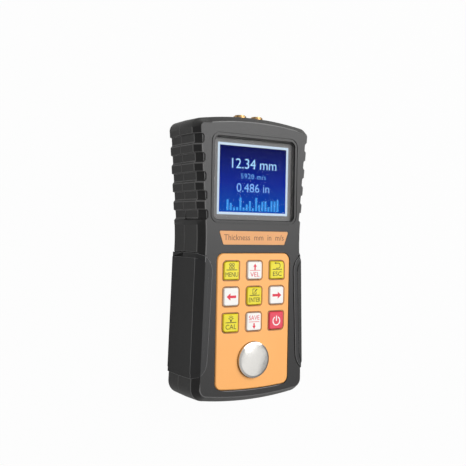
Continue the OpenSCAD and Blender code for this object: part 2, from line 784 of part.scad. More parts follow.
module window_lens() color("#d7dde2") translate([0, 0, window_z]) linear_extrude(window_t) window_outline(0);

module window_mask() color("#b9babd") difference() {
    prism(rectangle(window_w, window_h, screen_y, window_r), mask_z, window_z);
    prism(rectangle(mask_w, mask_h, screen_y, fine_r), mask_z - cut, window_z + cut);
}

module display_panel() color("#2e62c4")
    prism(rectangle(panel_w, panel_h, screen_y, fine_r), panel_z, panel_top);

// Tray under the display, on four legs that stand on the main board
module display_holder() color("#dfe1e2") {
    tray_z = panel_z - holder_floor_t;
    difference() {
        prism(rectangle(holder_w, holder_h, screen_y, 2 * fine_r), tray_z, face_in - holder_lip_clear);
        prism(rectangle(panel_w, panel_h, screen_y, fine_r), panel_z, face_in, -holder_gap);
    }
    for (sx = [-1, 1], sy = [-1, 1])
        translate([sx * (holder_w - holder_leg) / 2, screen_y + sy * (holder_h - holder_leg) / 2 - max(0, sy) * holder_leg])
            block(-holder_leg / 2, holder_leg / 2, -holder_leg / 2, holder_leg / 2, board_top, tray_z + fine_r);
}

// A flat cable that steps down from one board to another: two flat ends and a slope
module ribbon(y_high, z_high, y_low, z_low, run) {
    rotate([90, 0, 90]) linear_extrude(ribbon_w, center = true)
        polygon([[y_high, z_high], [y_high - run, z_high], [y_low + run, z_low], [y_low, z_low],
            [y_low, z_low + ribbon_t], [y_low + run + ribbon_t, z_low + ribbon_t],
            [y_high - run + ribbon_t, z_high + ribbon_t], [y_high, z_high + ribbon_t]]);
}

module display_ribbon() color("#c98f3c") {
    low = screen_y - holder_h / 2 + holder_leg / 2;
    ribbon(low + ribbon_drop, panel_z - holder_floor_t - ribbon_t, low, board_top, ribbon_run);
}

module keypad_ribbon() color("#c98f3c") {
    high = key_row_y + switch_h / 2;
    ribbon(high, switch_z - ribbon_t, high - ribbon_drop, board_top, ribbon_run);
}

module title_plate() color(amber) prism(title_outline, case_t - title_t, case_t);

module keypad_plate() color(amber) difference() {
    loft(plate_outline, [[0, plate_z], [0, plate_face - plate_bevel], [plate_bevel, plate_face]]);
    key_windows(plate_z - cut, plate_face + cut);
    translate([0, disc_y]) upright(disc_r + disc_gap, plate_z - cut, plate_face + cut);
}

// A key cap with a bevelled top and a flange that keeps it behind the front shell
module key_cap(col, row) {
    cap = key_outline(col, row);
    translate(key_spot(col, row)) {
        loft(cap, [[0, flange_top - fine_r], [0, key_top - key_bevel], [key_bevel, key_top]]);
        prism(cap, flange_z, flange_top, -key_flange);
    }
}

module menu_key() color(yellow) key_cap(-1, 1);

module up_key() color(white) key_cap(0, 1);

module escape_key() color(yellow) key_cap(1, 1);

module left_key() color(white) key_cap(-1, 0);

module enter_key() color(yellow) key_cap(0, 0);

module right_key() color(white) key_cap(1, 0);

module lamp_key() color(yellow) key_cap(-1, -1);

module down_key() color(white) key_cap(0, -1);

module power_key() color(red) key_cap(1, -1);

// Snap domes under the keys, on one sheet
module dome_sheet() color("#b8c0c4") {
    sphere_r = (dome_r * dome_r + dome_h * dome_h) / (2 * dome_h);
    prism(rectangle(switch_w, switch_h, key_row_y, fine_r), switch_top, switch_top + dome_sheet_t);
    for (col = [-1 : 1], row = [-1 : 1]) translate(key_spot(col, row)) translate([0, 0, switch_top + dome_sheet_t - fine_r / 2])
        rotate_extrude() intersection() {
            translate([0, fine_r / 2 + dome_h - sphere_r]) circle(sphere_r, $fn = 256);
            square([dome_r, dome_h + fine_r]);
        }
}

module at_spacers() {
    for (sx = [-1, 1], sy = [-1, 1]) translate([sx * spacer_x, key_row_y + sy * spacer_y]) children();
}

module switch_board() color(board_green) prism(rectangle(switch_w, switch_h, key_row_y, fine_r), switch_z, switch_top);

module switch_spacers() color("#e8e6df") at_spacers() upright(spacer_r, board_top, switch_z);

// Polished steel disc of known thickness, with a bevelled rim
module zero_disc() color(steel) translate([0, disc_y, disc_z]) rotate_extrude($fn = 128)
    polygon([[0, 0], [disc_r, 0], [disc_r, disc_t - disc_bevel_h], [disc_r - disc_bevel, disc_t], [0, disc_t]]);

module main_board() color(board_green) difference() {
    prism(rectangle(board_w, board_len, 0, board_r), board_z, board_top);
    board_bosses(board_z - cut, board_top + cut, board_screw_r + screw_clear);
}

// Parts soldered under the main board, beside the upper end of the battery well
chip_spot = [0, 44];
module processor_chip() color("#1c1d1f")
    translate(chip_spot) block(-chip_w / 2, chip_w / 2, -chip_w / 2, chip_w / 2, board_z - chip_t, board_z);

coil_spot = [-17, 26];
module pulse_coil() color("#8a5a2b")
    translate(coil_spot) block(-coil_w / 2, coil_w / 2, -coil_w / 2, coil_w / 2, board_z - coil_h, board_z);

capacitor_spot = [-20, 44];
module capacitors() color("#24324f") for (i = [-1 : 1])
    translate(capacitor_spot + [0, i * capacitor_pitch]) upright(capacitor_r, board_z - capacitor_h, board_z);

buzzer_spot = [17, 30];
module buzzer() color("#2a2a2a") translate([buzzer_spot[0], buzzer_spot[1], board_z - buzzer_h]) difference() {
    upright(buzzer_r, 0, buzzer_h);
    upright(buzzer_hole_r, -cut, buzzer_hole_d);
}

// A coaxial socket: a gilt barrel with a flange behind the end wall
module socket() color(gold) difference() {
    union() {
        along(barrel_r, socket_back, socket_tip);
        along(barrel_r + socket_flange, flange_y - socket_flange_t, flange_y);
    }
    along(socket_bore_r, insulator_top, socket_tip + cut);
    along(socket_bore_r - socket_step, socket_back - cut, socket_tip);
}

module left_socket() translate([-socket_pitch / 2, 0, socket_z]) socket();

module right_socket() translate([socket_pitch / 2, 0, socket_z]) socket();

module socket_nuts() color(gold) at_sockets() difference() {
    along(nut_r, socket_seat, socket_seat + nut_h);
    along(barrel_r + socket_fit, socket_seat - cut, socket_tip);
    for (a = [0, 90]) rotate([0, a, 0])
        block(-nut_r - cut, nut_r + cut, socket_seat + nut_h / 2, socket_tip, -nut_notch / 2, nut_notch / 2);
}

module socket_insulators() color(white) at_sockets() difference() {
    along(socket_bore_r - socket_step - socket_fit, socket_back, insulator_top);
    along(contact_r + socket_fit, socket_back - cut, insulator_top + cut);
}

// Centre contacts, with tails bent down onto the main board
module socket_contacts() color(gold) at_sockets() {
    along(contact_r, socket_back, insulator_top);
    along(tail_r, tail_end, socket_back + cut);
    translate([0, tail_end, 0]) {
        sphere(tail_r);
        upright(tail_r, board_top - socket_z, 0);
    }
}

// Sliding battery cover with tongues along its sides and finger ridges
module battery_cover() color(charcoal) difference() {
    intersection() {
        case_body(0);
        union() {
            block(-cover_w / 2, cover_w / 2, -case_len, cover_end, cover_gap, cover_t);
            block(-cover_w / 2 - tongue_w, cover_w / 2 + tongue_w, -case_len, cover_end, cover_t - tongue_t, cover_t);
        }
    }
    for (i = [0 : ridge_count - 1])
        block(-ridge_len / 2, ridge_len / 2, ridge_y - i * ridge_pitch, ridge_y - i * ridge_pitch + ridge_w,
            0, cover_gap + ridge_d);
}

// A round cell with its button at the end that way points to
module cell(way) color("#3d6b57") translate([0, (button_top + button_low) / 2, cell_z]) rotate([0, 0, way > 0 ? 0 : 180]) {
    tip = (button_top - button_low) / 2;
    along(cell_r, tip - cell_button - cell_len, tip - cell_button);
    along(cell_button_r, tip - 2 * cell_button, tip);
}

module left_cell() translate([-cell_pitch / 2, 0, 0]) cell(1);

module right_cell() translate([cell_pitch / 2, 0, 0]) cell(-1);

// A conical wire spring that stands on a plate and narrows towards its cell
spring_sides = 8;
spring_rings = 14;
spring_end_share = 0.55;
module spring() {
    steps = spring_turns * spring_rings;
    rise = spring_room - spring_wire;
    points = [for (i = [0 : steps], k = [0 : spring_sides - 1])
        let (t = i / steps, a = 360 * spring_turns * t, b = 360 * k / spring_sides,
            r = spring_r * (1 - (1 - spring_end_share) * t) + spring_wire / 2 * cos(b))
        [r * cos(a), spring_wire / 2 + rise * t + spring_wire / 2 * sin(b), r * sin(a)]];
    sides = [for (i = [0 : steps - 1], k = [0 : spring_sides - 1])
        let (m = (k + 1) % spring_sides)
        [i * spring_sides + k, i * spring_sides + m, (i + 1) * spring_sides + m, (i + 1) * spring_sides + k]];
    polyhedron(points, concat([[for (k = [spring_sides - 1 : -1 : 0]) k]], sides,
        [[for (k = [0 : spring_sides - 1]) steps * spring_sides + k]]), convexity = 6);
}

module battery_springs() color(steel) {
    translate([-cell_pitch / 2, button_low, cell_z]) spring();
    translate([cell_pitch / 2, button_top, cell_z]) mirror([0, 1, 0]) spring();
}

// Contact plates against the two end walls of the well
module battery_plates() color(steel) {
    plate_half = cell_r - well_gap;
    for (x = [-cell_pitch / 2, cell_pitch / 2], y = [well_bottom, button_top])
        block(x - plate_half, x + plate_half, y, y + plate_contact_t, cell_z - plate_half, cell_z + plate_half);
}

module case_screws() color(steel) difference() {
    union() {
        case_bosses(case_head_sink, head_seat, case_head_r);
        case_bosses(head_seat - fine_r, head_seat + case_screw_len, case_screw_r * pilot_share);
    }
    for (p = case_screw_spots, a = [0, 90]) translate(p) rotate(a)
        block(-case_head_r * cross_share, case_head_r * cross_share, -cross_w / 2, cross_w / 2,
            0, case_head_sink + case_head_h / 2);
}

module board_screws() color(steel) {
    board_bosses(board_z - board_head_h, board_z, board_head_r);
    board_bosses(board_z - fine_r, board_z + board_screw_len, board_screw_r * pilot_share);
}

front_shell();
rear_shell();
left_grip();
right_grip();
window_lens();
window_mask();
display_panel();
display_holder();
display_ribbon();
title_plate();
keypad_plate();
menu_key();
up_key();
escape_key();
left_key();
enter_key();
right_key();
lamp_key();
down_key();
power_key();
dome_sheet();
switch_board();
switch_spacers();
keypad_ribbon();
zero_disc();
main_board();
processor_chip();
pulse_coil();
capacitors();
buzzer();
left_socket();
right_socket();
socket_nuts();
socket_insulators();
socket_contacts();
battery_cover();
left_cell();
right_cell();
battery_springs();
battery_plates();
case_screws();
board_screws();
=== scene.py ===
import bpy
import bmesh
import math
from mathutils import Matrix, Vector


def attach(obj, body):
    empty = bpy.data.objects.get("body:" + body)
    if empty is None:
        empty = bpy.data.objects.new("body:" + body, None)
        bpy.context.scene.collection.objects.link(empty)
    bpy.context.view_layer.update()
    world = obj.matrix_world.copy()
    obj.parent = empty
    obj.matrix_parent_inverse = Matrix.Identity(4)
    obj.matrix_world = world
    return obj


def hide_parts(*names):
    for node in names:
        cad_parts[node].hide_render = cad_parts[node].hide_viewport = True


# Handheld ultrasonic thickness gauge, dressed over its CAD model. Sizes in the dictionaries are millimetres.
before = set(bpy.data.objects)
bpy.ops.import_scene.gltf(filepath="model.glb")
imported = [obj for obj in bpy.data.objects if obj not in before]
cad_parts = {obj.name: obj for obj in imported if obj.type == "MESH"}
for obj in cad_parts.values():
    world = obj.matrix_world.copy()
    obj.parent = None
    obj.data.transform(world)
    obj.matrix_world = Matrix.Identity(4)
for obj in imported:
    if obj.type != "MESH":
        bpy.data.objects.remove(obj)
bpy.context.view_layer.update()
mm = 0.001
# Corners nearer than this are one
weld = 0.0005
scene = bpy.context.scene
scene.view_settings.view_transform = "Standard"


def linear(hexColour):
    channels = [int(hexColour[i:i + 2], 16) / 255 for i in (1, 3, 5)]
    return tuple(c / 12.92 if c <= 0.04045 else ((c + 0.055) / 1.055) ** 2.4 for c in channels) + (1.0,)


def addNode(tree, kind, inputs=None, **settings):
    node = tree.nodes.new(kind)
    for key, value in settings.items():
        setattr(node, key, value)
    for key, value in (inputs or {}).items():
        if isinstance(value, bpy.types.NodeSocket):
            tree.links.new(value, node.inputs[key])
        else:
            node.inputs[key].default_value = value
    return node


# Camera where the photograph was taken from: above the face, off to the left
cameraView = {"place": (-0.2197, 0.01455, 0.357), "turn": (-32.37, -0.12, 1.04), "lens": 57.17}


def makeCamera():
    camera = bpy.data.objects.new("viewCamera", bpy.data.cameras.new("viewCamera"))
    camera.data.lens = cameraView["lens"]
    camera.data.sensor_width = 36
    camera.data.clip_start = 0.01
    yaw, pitch, roll = (math.radians(a) for a in cameraView["turn"])
    camera.matrix_world = (Matrix.Translation(cameraView["place"]) @ Matrix.Rotation(yaw, 4, "Y")
                           @ Matrix.Rotation(pitch, 4, "X") @ Matrix.Rotation(roll, 4, "Z"))
    scene.collection.objects.link(camera)
    scene.camera = camera


# One large softbox over the right shoulder, a weak panel that the steel disc mirrors, a strip on the left and a dim
# room. The glows say how white the floor and the room are to the camera, the mirrors how white in reflections
studio = {"room": "#2c2d2f", "zenith": "#d4d4d4", "floor": "#a6a6a4", "floorGlow": 0.97, "mirrorGlow": 0.3,
          "roomGlow": 0.97, "roomMirror": 0.08, "dimBelow": 0.15, "brightAbove": 0.9, "floorHalf": 4, "floorDrop": 0.2,
          "softboxPlace": (0.45, 0.48, 0.85), "softboxSize": (1.0, 0.9), "softboxPower": 10.8,
          "fillPlace": (-0.75, -0.35, 0.55), "fillSize": (0.5, 0.9), "fillPower": 0.3,
          "panelPlace": (0.52, -0.24, 0.86), "panelSize": (0.4, 0.36), "panelPower": 0.24}


def makeLamp(name, place, size, power):
    lamp = bpy.data.lights.new(name, "AREA")
    lamp.shape = "RECTANGLE"
    lamp.size, lamp.size_y = size
    lamp.energy = power
    holder = bpy.data.objects.new(name, lamp)
    holder.location = place
    holder.rotation_euler = (-Vector(place)).to_track_quat("-Z", "Y").to_euler()
    scene.collection.objects.link(holder)


# How white a backdrop is to the camera and through glass, and how white in reflections
def whiteShare(tree, direct, mirrored):
    path = addNode(tree, "ShaderNodeLightPath")
    seen = addNode(tree, "ShaderNodeMath", {0: path.outputs["Is Camera Ray"], 1: path.outputs["Is Transmission Ray"]},
                   operation="MAXIMUM")
    seen = addNode(tree, "ShaderNodeMath", {0: seen.outputs[0], 1: direct}, operation="MULTIPLY")
    glossy = addNode(tree, "ShaderNodeMath", {0: path.outputs["Is Glossy Ray"], 1: mirrored}, operation="MULTIPLY")
    return addNode(tree, "ShaderNodeMath", {0: seen.outputs[0], 1: glossy.outputs[0]}, operation="MAXIMUM").outputs[0]


def makeStudio():
    makeLamp("softbox", studio["softboxPlace"], studio["softboxSize"], studio["softboxPower"])
    makeLamp("fillStrip", studio["fillPlace"], studio["fillSize"], studio["fillPower"])
    makeLamp("discPanel", studio["panelPlace"], studio["panelSize"], studio["panelPower"])
    world = bpy.data.worlds.new("studioRoom")
    world.use_nodes = True
    scene.world = world
    tree = world.node_tree
    tree.nodes.clear()
    heading = addNode(tree, "ShaderNodeSeparateXYZ", {0: addNode(tree, "ShaderNodeTexCoord").outputs["Generated"]})
    rise = addNode(tree, "ShaderNodeMapRange", {"Value": heading.outputs["Z"], "From Min": studio["dimBelow"],
                                                "From Max": studio["brightAbove"]})
    tone = addNode(tree, "ShaderNodeMix", {0: rise.outputs[0], 6: linear(studio["room"]), 7: linear(studio["zenith"])},
                   data_type="RGBA")
    share = whiteShare(tree, studio["roomGlow"], studio["roomMirror"])
    seen = addNode(tree, "ShaderNodeMix", {0: share, 6: tone.outputs[2], 7: (1, 1, 1, 1)}, data_type="RGBA")
    glow = addNode(tree, "ShaderNodeBackground", {"Color": seen.outputs[2], "Strength": 1.0})
    addNode(tree, "ShaderNodeOutputWorld", {"Surface": glow.outputs[0]})

    # Paper floor: white to the camera and through glass, partly so in reflections, and it keeps a soft shadow
    paper = bpy.data.materials.new("paperFloor")
    paper.use_nodes = True
    tree = paper.node_tree
    shader = tree.nodes["Principled BSDF"]
    shader.inputs["Base Color"].default_value = linear(studio["floor"])
    shader.inputs["Roughness"].default_value = 0.7
    shader.inputs["Specular IOR Level"].default_value = 0.2
    share = whiteShare(tree, studio["floorGlow"], studio["mirrorGlow"])
    white = addNode(tree, "ShaderNodeEmission", {"Color": (1, 1, 1, 1), "Strength": 1.0})
    both = addNode(tree, "ShaderNodeMixShader", {0: share, 1: shader.outputs[0], 2: white.outputs[0]})
    tree.links.new(both.outputs[0], tree.nodes["Material Output"].inputs["Surface"])
    mesh = bpy.data.meshes.new("paperFloor")
    half = studio["floorHalf"]
    corners = [(x * half, y * half, -studio["floorDrop"] * mm) for x, y in ((-1, -1), (1, -1), (1, 1), (-1, 1))]
    mesh.from_pydata(corners, [], [(0, 1, 2, 3)])
    mesh.materials.append(paper)
    floor = bpy.data.objects.new("paperFloor", mesh)
    scene.collection.objects.link(floor)


makeCamera()
makeStudio()
print("camera, studio and floor made")


def startFinish(name, **sockets):
    material = bpy.data.materials.new(name)
    material.use_nodes = True
    shader = material.node_tree.nodes["Principled BSDF"]
    for key, value in sockets.items():
        shader.inputs[key.replace("_", " ")].default_value = value
    return material, material.node_tree, shader


# A moulded or cast surface: fine grain from the tool, slow clouds of tone, and gloss that follows the grain.
# A painted highlight colour shows on the eased edges, in place of the light they catch
def mouldedFinish(name, colour, shade, roughness, grain, depth, paintedEdgeHighlight=None, **sockets):
    material, tree, shader = startFinish(name, **sockets)
    place = addNode(tree, "ShaderNodeTexCoord").outputs["Object"]
    pits = addNode(tree, "ShaderNodeTexNoise",
                   {"Vector": place, "Scale": 1 / (grain * mm), "Detail": 3.0, "Roughness": 0.6})
    clouds = addNode(tree, "ShaderNodeTexNoise", {"Vector": place, "Scale": 1 / (22 * mm), "Detail": 2.0})
    tone = addNode(tree, "ShaderNodeMix", {0: clouds.outputs[0], 6: linear(shade), 7: linear(colour)}, data_type="RGBA")
    gloss = addNode(tree, "ShaderNodeMapRange", {"Value": pits.outputs[0], "From Min": 0.3, "From Max": 0.7,
                                                 "To Min": roughness - 0.06, "To Max": roughness + 0.06})
    bump = addNode(tree, "ShaderNodeBump", {"Height": pits.outputs[0], "Distance": depth * mm, "Strength": 1.0})
    # Painted highlight: faces of the eased edges take a lighter colour, standing in for the light they catch
    if paintedEdgeHighlight:
        edge = addNode(tree, "ShaderNodeAttribute", attribute_name="paintedEdgeHighlight")
        tone = addNode(tree, "ShaderNodeMix", {0: edge.outputs["Fac"], 6: tone.outputs[2], 7: linear(paintedEdgeHighlight)},
                       data_type="RGBA")
    tree.links.new(tone.outputs[2], shader.inputs["Base Color"])
    tree.links.new(gloss.outputs[0], shader.inputs["Roughness"])
    tree.links.new(bump.outputs[0], shader.inputs["Normal"])
    return material


# A metal part off a lathe or plating bath: faint grain, tone and polish that wander a little
def metalFinish(name, colour, shade, roughness, grain, depth):
    return mouldedFinish(name, colour, shade, roughness, grain, depth, Metallic=1.0)


# Stainless steel faced on a lathe: rings about the disc's middle, so its gloss spreads along the radius
discTurning = {"middle": (0.0, -53.1), "ring": 0.35, "colour": "#f4efe8", "shade": "#e6e1da", "roughness": 0.45}


def turnedSteel():
    material, tree, shader = startFinish("turnedStainlessSteel", Metallic=1.0, Anisotropic=0.5)
    place = addNode(tree, "ShaderNodeTexCoord").outputs["Object"]
    middle = addNode(tree, "ShaderNodeMapping", {"Vector": place, "Location": (-discTurning["middle"][0] * mm,
                                                                             -discTurning["middle"][1] * mm, 0)})
    flat = addNode(tree, "ShaderNodeVectorMath", {0: middle.outputs[0], 1: (1, 1, 0)}, operation="MULTIPLY")
    radius = addNode(tree, "ShaderNodeVectorMath", {0: flat.outputs[0]}, operation="LENGTH")
    rings = addNode(tree, "ShaderNodeTexNoise", {"W": radius.outputs["Value"], "Scale": 1 / (discTurning["ring"] * mm),
                                                 "Detail": 2.0}, noise_dimensions="1D")
    tone = addNode(tree, "ShaderNodeMix", {0: rings.outputs[0], 6: linear(discTurning["shade"]),
                                           7: linear(discTurning["colour"])}, data_type="RGBA")
    gloss = addNode(tree, "ShaderNodeMapRange", {"Value": rings.outputs[0], "To Min": discTurning["roughness"] - 0.08,
                                                 "To Max": discTurning["roughness"] + 0.08})
    around = addNode(tree, "ShaderNodeTangent", direction_type="RADIAL", axis="Z")
    tree.links.new(tone.outputs[2], shader.inputs["Base Color"])
    tree.links.new(gloss.outputs[0], shader.inputs["Roughness"])
    tree.links.new(around.outputs[0], shader.inputs["Tangent"])
    return material


# Backlit colour display: a dark blue top that brightens towards the bottom edge
screenGlow = {"low": 24.7, "high": 59.5, "top": "#080a48", "middle": "#0b2392", "bottom": "#0b49b0"}


def displayPicture():
    material, tree, shader = startFinish("backlitDisplay", Roughness=0.35, Specular_IOR_Level=0.0)
    shader.inputs["Base Color"].default_value = linear("#05070f")
    shader.inputs["Emission Strength"].default_value = 1.0
    place = addNode(tree, "ShaderNodeTexCoord").outputs["Object"]
    height = addNode(tree, "ShaderNodeSeparateXYZ", {0: place})
    rise = addNode(tree, "ShaderNodeMapRange", {"Value": height.outputs["Y"], "From Min": screenGlow["low"] * mm,
                                                "From Max": screenGlow["high"] * mm})
    ramp = addNode(tree, "ShaderNodeValToRGB", {0: rise.outputs[0]})
    ramp.color_ramp.elements[0].color = linear(screenGlow["bottom"])
    ramp.color_ramp.elements[1].color = linear(screenGlow["top"])
    ramp.color_ramp.elements.new(0.45).color = linear(screenGlow["middle"])
    tree.links.new(ramp.outputs[0], shader.inputs["Emission Color"])
    return material


def litInk(name, colour):
    material, tree, shader = startFinish(name, Roughness=0.4, Specular_IOR_Level=0.0)
    place = addNode(tree, "ShaderNodeTexCoord").outputs["Object"]
    cells = addNode(tree, "ShaderNodeTexNoise", {"Vector": place, "Scale": 1 / (0.5 * mm)})
    tone = addNode(tree, "ShaderNodeMapRange", {"Value": cells.outputs[0], "To Min": 0.94, "To Max": 1.06})
    glow = addNode(tree, "ShaderNodeMix", {0: tone.outputs[0], 6: (0, 0, 0, 1), 7: linear(colour)}, data_type="RGBA")
    shader.inputs["Base Color"].default_value = linear("#05070f")
    tree.links.new(glow.outputs[2], shader.inputs["Emission Color"])
    shader.inputs["Emission Strength"].default_value = 1.0
    return material


# Clear cast acrylic with an anti-glare coat, so its gloss is far below bare acrylic's; no grain to see
def clearAcrylic():
    material, tree, shader = startFinish("clearAcrylic", IOR=1.05, Transmission_Weight=1.0)
    place = addNode(tree, "ShaderNodeTexCoord").outputs["Object"]
    wipes = addNode(tree, "ShaderNodeTexNoise", {"Vector": place, "Scale": 1 / (9 * mm), "Detail": 2.0})
    gloss = addNode(tree, "ShaderNodeMapRange", {"Value": wipes.outputs[0], "To Min": 0.0, "To Max": 0.004})
    shader.inputs["Base Color"].default_value = linear("#fcfcfc")
    tree.links.new(gloss.outputs[0], shader.inputs["Roughness"])
    return material


finishes = {
    # ABS from a spark-eroded mould: dark, satin, with a fine even grain (drawn coarser than real, so it shows)
    # Its last colour is a painted highlight on the eased edges
    "caseAbs": mouldedFinish("sparkTexturedAbs", "#1d1c1c", "#181717", 0.39, 0.55, 0.015, "#6a6969", IOR=1.53),
    # Soft moulded TPE: blacker and more matt than the case
    # Its last colour is a painted highlight on the eased edges
    "gripRubber": mouldedFinish("mouldedRubber", "#2a2a2b", "#242425", 0.55, 0.5, 0.015, "#8a8a8b", IOR=1.5),
    "windowAcrylic": clearAcrylic(),
    # Screen-printed ink behind the window, an even silvery grey
    "windowInk": mouldedFinish("silverGreyInk", "#a3a2a2", "#999898", 0.5, 0.4, 0.004),
    # Painted shade: flat near-black for the shadow inside the window's recess
    "paintedShadeInk": mouldedFinish("paintedShadeBlack", "#101010", "#0c0c0c", 0.5, 0.5, 0.004),
    # White light guide that shows around the picture
    "displayMargin": litInk("whiteLightGuide", "#cfe2f3"),
    "displayPicture": displayPicture(),
    "displayWhite": litInk("litReading", "#a8dcff"),
    "displaySmall": litInk("litSmallText", "#62a6f4"),
    "displayPale": litInk("litSecondReading", "#7fb8f6"),
    "displayBars": litInk("litEchoBars", "#3f9bea"),
    # Polycarbonate overlay printed amber on its back: smooth satin face
    "panelAmber": mouldedFinish("amberPolycarbonate", "#f9b263", "#f6ab59", 0.38, 0.5, 0.006, IOR=1.58),
    # The same film printed a browner amber
    "titleAmber": mouldedFinish("brownAmberPolycarbonate", "#df9d5e", "#d99757", 0.38, 0.5, 0.006, IOR=1.58),
    # Moulded keycaps, satin
    "keyYellow": mouldedFinish("yellowKeycap", "#e9da2b", "#e2d222", 0.36, 0.4, 0.006, IOR=1.5),
    "keyWhite": mouldedFinish("whiteKeycap", "#f4f2ee", "#ebe9e5", 0.36, 0.4, 0.006, IOR=1.5),
    "keyRed": mouldedFinish("redKeycap", "#e6485d", "#dc3d52", 0.36, 0.4, 0.006, IOR=1.5),
    # Pad-printed inks
    "inkDark": mouldedFinish("darkPrintInk", "#1f1b14", "#191610", 0.5, 0.3, 0.003),
    "inkRed": mouldedFinish("redPrintInk", "#e2364d", "#d62c43", 0.5, 0.3, 0.003),
    "inkWhite": mouldedFinish("whitePrintInk", "#f7f4f2", "#efebe8", 0.5, 0.3, 0.003),
    "inkBrown": mouldedFinish("brownPrintInk", "#7d5236", "#704830", 0.5, 0.3, 0.003),
    "discSteel": turnedSteel(),
    # The disc's rim and bevel, polished
    "rimSteel": metalFinish("polishedStainlessSteel", "#d9d7d3", "#cfcdc9", 0.14, 1.2, 0.001),
    # Brass plated with gold
    "socketGilt": metalFinish("giltBrass", "#d3ad78", "#c39a63", 0.28, 0.6, 0.002),
    "socketPtfe": mouldedFinish("turnedPtfe", "#efeeea", "#e4e3df", 0.5, 0.4, 0.004),
    # Zinc plated steel screws
    "screwSteel": metalFinish("zincPlatedSteel", "#b9bcc0", "#a6a9ad", 0.3, 0.5, 0.003),
    "contactSteel": metalFinish("nickelPlatedSteel", "#c9c7c2", "#b9b7b2", 0.26, 0.5, 0.003),
    # Glass-fibre board under green solder mask
    "boardGreen": mouldedFinish("greenSolderMask", "#1f6b45", "#195a3a", 0.35, 0.7, 0.01),
    "chipEpoxy": mouldedFinish("mouldedEpoxy", "#1d1e20", "#17181a", 0.55, 0.25, 0.01),
    "coilTape": mouldedFinish("polyesterTape", "#8d5d2d", "#7c5026", 0.4, 1.0, 0.01),
    "capacitorSleeve": mouldedFinish("shrinkSleeve", "#24324f", "#1d2942", 0.35, 0.8, 0.006),
    "cellSleeve": mouldedFinish("cellLabelFilm", "#3d6b57", "#335c4a", 0.3, 1.2, 0.004),
    "holderNylon": mouldedFinish("mouldedNylon", "#dfe1e2", "#d3d5d6", 0.5, 0.5, 0.01),
    "ribbonFilm": mouldedFinish("polyimideFilm", "#c98f3c", "#b97f30", 0.3, 1.0, 0.004),
    "domeFilm": mouldedFinish("polyesterFilm", "#b8c0c4", "#aab2b6", 0.3, 0.8, 0.004),
}
print("finishes made:", len(finishes))


def newPiece(name, mesh, finish, body):
    mesh.materials.clear()
    mesh.materials.append(finishes[finish])
    piece = bpy.data.objects.new(name, mesh)
    scene.collection.objects.link(piece)
    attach(piece, body)
    return piece


# Turns the modifiers of an object into plain mesh
def settle(piece):
    graph = bpy.context.evaluated_depsgraph_get()
    before = piece.data
    piece.data = bpy.data.meshes.new_from_object(piece.evaluated_get(graph), depsgraph=graph)
    piece.modifiers.clear()
    bpy.data.meshes.remove(before)


# A CAD solid with its edges eased, as a tool or a mould leaves them, where both faces are wide enough for it
def easedCopy(node, name, finish, body, edge, segments=2, clearance=1.5, sharp=36, limit=24):
    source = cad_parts[node].data
    mesh = bpy.data.meshes.new(name)
    mesh.from_pydata([v.co.copy() for v in source.vertices], [], [tuple(p.vertices) for p in source.polygons])
    shape = bmesh.new()
    shape.from_mesh(mesh)
    bmesh.ops.remove_doubles(shape, verts=shape.verts, dist=0.002 * mm)
    bmesh.ops.dissolve_limit(shape, angle_limit=math.radians(0.5), verts=shape.verts, edges=shape.edges)
    eased = shape.edges.layers.float.new("bevel_weight_edge")
    for line in shape.edges:
        wide = min((2 * f.calc_area() / f.calc_perimeter() for f in line.link_faces), default=0) > 2.2 * edge * mm
        clear = min(near.calc_length() for v in line.verts for near in v.link_edges) > clearance * edge * mm
        line[eased] = 1.0 if wide and clear and line.calc_face_angle(0) > math.radians(limit) else 0.0
    shape.to_mesh(mesh)
    shape.free()
    piece = newPiece(name, mesh, finish, body)
    bevel = piece.modifiers.new("easedEdges", "BEVEL")
    bevel.width = edge * mm
    bevel.segments = segments
    bevel.limit_method = "WEIGHT"
    bevel.use_clamp_overlap = False
    mesh.materials.append(finishes[finish])
    bevel.material = 1
    settle(piece)
    # Faces made by the bevel are marked, so a finish can paint a highlight on them
    onEdge = [float(face.material_index) for face in piece.data.polygons]
    piece.data.polygons.foreach_set("material_index", [0] * len(onEdge))
    piece.data.materials.pop()
    piece.data.attributes.new("paintedEdgeHighlight", "FLOAT", "FACE").data.foreach_set("value", onEdge)
    piece.data.shade_smooth()
    piece.data.set_sharp_from_angle(angle=math.radians(sharp))
    weight = piece.modifiers.new("flatShading", "WEIGHTED_NORMAL")
    weight.keep_sharp = True
    settle(piece)
    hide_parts(node)
    return piece


caseEdges = {"shell": 0.35, "grip": 0.15, "cover": 0.25, "panel": 0.15, "title": 0.08, "key": 0.14, "socket": 0.15,
             "lens": 0.1}

easedCopy("front_shell", "frontShell", "caseAbs", "housing", caseEdges["shell"])
easedCopy("rear_shell", "rearShell", "caseAbs", "housing", caseEdges["shell"])
for side in ("left", "right"):
    easedCopy(side + "_grip", side + "Grip", "gripRubber", "housing", caseEdges["grip"], segments=3)
easedCopy("battery_cover", "batteryCover", "caseAbs", "cover", caseEdges["cover"])
easedCopy("keypad_plate", "keypadPlate", "panelAmber", "housing", caseEdges["panel"])
easedCopy("title_plate", "titlePlate", "titleAmber", "housing", caseEdges["title"])
for side in ("left", "right"):
    easedCopy(side + "_socket", side + "Socket", "socketGilt", "housing", caseEdges["socket"])
easedCopy("socket_nuts", "socketNuts", "socketGilt", "housing", caseEdges["socket"])
print("case, grips, cover, plates and sockets made")


# Flat prints, drawn as loops of points in millimetres and given the thickness of an ink or film
def bar(x0, y0, x1, y1):
    return [(x0, y0), (x1, y0), (x1, y1), (x0, y1)]


def band(x, y, outer, inner, start, end, steps=20):
    angles = [math.radians(start + (end - start) * i / steps) for i in range(steps + 1)]
    return ([(x + outer * math.cos(a), y + outer * math.sin(a)) for a in angles]
            + [(x + inner * math.cos(a), y + inner * math.sin(a)) for a in reversed(angles)])


